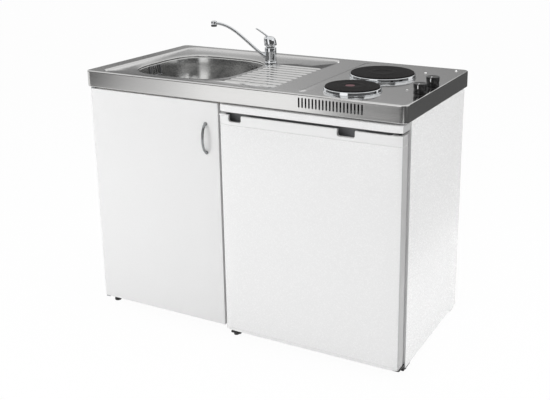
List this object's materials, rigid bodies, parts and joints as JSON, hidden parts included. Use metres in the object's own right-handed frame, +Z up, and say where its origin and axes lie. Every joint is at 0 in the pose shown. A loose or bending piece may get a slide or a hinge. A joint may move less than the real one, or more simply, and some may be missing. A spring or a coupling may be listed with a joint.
{
  "type": "kitchenette unit with sink and hob",
  "caption": "Compact kitchenette: a steel worktop with sink, mixer tap, drainer and electric hotplates over a sink cabinet with a door and an under-counter refrigerator.",
  "frame": {"origin": "centre of the bounding box on the floor", "axes": "+X to the right seen from the front, +Y to the back wall, +Z up"},
  "size_m": [1.2, 0.6224, 1.049],
  "materials": {
    "pressed_steel": "fine brushed stainless steel",
    "bowl_steel": "polished stainless steel",
    "timber": "planed softwood",
    "chrome": "polished chrome plate",
    "cast_iron": "black stove-enamelled cast iron",
    "zinc_steel": "zinc-plated steel",
    "black_plastic": "black moulded plastic",
    "grey_plastic": "grey moulded plastic",
    "white_plastic": "white moulded plastic",
    "lamp_lens": "clear lens",
    "white_board": "board with a smooth white melamine face",
    "hardboard": "white-faced hardboard",
    "white_enamel": "white stove-enamelled sheet steel",
    "liner_plastic": "white vacuum-formed plastic",
    "gasket_rubber": "grey soft vinyl",
    "shelf_glass": "clear toughened glass",
    "clear_plastic": "clear plastic",
    "black_steel": "black painted steel"
  },
  "bodies": {
    "unit": {"worktop": "pressed_steel", "sink_bowl": "bowl_steel", "batten_front": "timber", "batten_rear": "timber", "batten_middle": "timber", "tap_body": "chrome", "waste_body": "chrome", "trim_ring_front": "chrome", "trim_ring_rear": "chrome", "hotplate_front": "cast_iron", "hotplate_rear": "cast_iron", "plate_clamp_front": "zinc_steel", "plate_clamp_rear": "zinc_steel", "hob_tray": "zinc_steel", "tap_nut": "zinc_steel", "door_hinge_upper": "zinc_steel", "door_hinge_lower": "zinc_steel", "cable_gland": "black_plastic", "foot_left_front": "black_plastic", "foot_left_rear": "black_plastic", "foot_right_front": "black_plastic", "foot_right_rear": "black_plastic", "fridge_foot_left": "black_plastic", "fridge_foot_right": "black_plastic", "overflow_duct": "grey_plastic", "switch_front": "grey_plastic", "switch_rear": "grey_plastic", "bottle_trap": "white_plastic", "magnetic_catch": "white_plastic", "pilot_lamp": "lamp_lens", "cabinet_side": "white_board", "cabinet_partition": "white_board", "cabinet_bottom": "white_board", "cabinet_rail": "white_board", "cabinet_back": "hardboard", "fridge_cabinet": "white_enamel", "fridge_top": "white_enamel", "freezer_box": "liner_plastic", "shelf_upper": "shelf_glass", "crisper_cover": "shelf_glass", "fridge_hinge_lower": "black_steel", "fridge_hinge_upper": "black_steel", "compressor": "black_steel", "condenser": "black_steel"},
    "cabinet_door": {"cabinet_door": "white_board", "door_handle": "chrome"},
    "fridge_door": {"fridge_door": "white_enamel", "fridge_door_cap": "white_plastic", "fridge_door_liner": "liner_plastic", "fridge_gasket": "gasket_rubber"},
    "spout": {"tap_spout": "chrome", "tap_aerator": "black_plastic"},
    "mixer_ball": {"tap_ball": "chrome"},
    "mixer_lever": {"tap_lever": "chrome"},
    "plug": {"basket_plug": "chrome"},
    "knob_front": {"knob_front": "black_plastic"},
    "knob_rear": {"knob_rear": "black_plastic"},
    "crisper": {"crisper_drawer": "clear_plastic"},
    "freezer_flap": {"freezer_flap": "white_plastic"},
    "thermostat_dial": {"thermostat_knob": "white_plastic"}
  },
  "joints": [
    {"name": "cabinet_door_hinge", "type": "hinge", "parent": "unit", "child": "cabinet_door", "pos_m": [-0.5735, -0.279, 0.433], "axis": [0, 0, -1], "range_deg": [0, 110]},
    {"name": "fridge_door_hinge", "type": "hinge", "parent": "unit", "child": "fridge_door", "pos_m": [0.578, -0.2765, 0.4], "axis": [0, 0, 1], "range_deg": [0, 115]},
    {"name": "tap_swivel", "type": "hinge", "parent": "unit", "child": "spout", "pos_m": [-0.104, 0.1465, 0.9145], "axis": [0, 0, 1], "range_deg": [-75, 75]},
    {"name": "tap_turn", "type": "hinge", "parent": "unit", "child": "mixer_ball", "pos_m": [-0.104, 0.1465, 0.952], "axis": [0, 0, 1], "range_deg": [-45, 45]},
    {"name": "tap_lift", "type": "hinge", "parent": "mixer_ball", "child": "mixer_lever", "pos_m": [-0.104, 0.1465, 0.952], "axis": [-0.6388, 0.7694, 0], "range_deg": [0, 18]},
    {"name": "plug_lift", "type": "slide", "parent": "unit", "child": "plug", "axis": [0, 0, 1], "range_m": [0, 0.03]},
    {"name": "knob_front_turn", "type": "hinge", "parent": "unit", "child": "knob_front", "pos_m": [0.571, -0.1035, 0.905], "axis": [0, 0, 1], "continuous": true},
    {"name": "knob_rear_turn", "type": "hinge", "parent": "unit", "child": "knob_rear", "pos_m": [0.571, 0.0115, 0.905], "axis": [0, 0, 1], "continuous": true},
    {"name": "crisper_slide", "type": "slide", "parent": "unit", "child": "crisper", "axis": [0, -1, 0], "range_m": [0, 0.1]},
    {"name": "freezer_flap_hinge", "type": "hinge", "parent": "unit", "child": "freezer_flap", "pos_m": [0.275, -0.1065, 0.636], "axis": [1, 0, 0], "range_deg": [0, 90]},
    {"name": "thermostat_turn", "type": "hinge", "parent": "unit", "child": "thermostat_dial", "pos_m": [0.524, -0.0585, 0.578], "axis": [-1, 0, 0], "range_deg": [0, 270]}
  ]
}
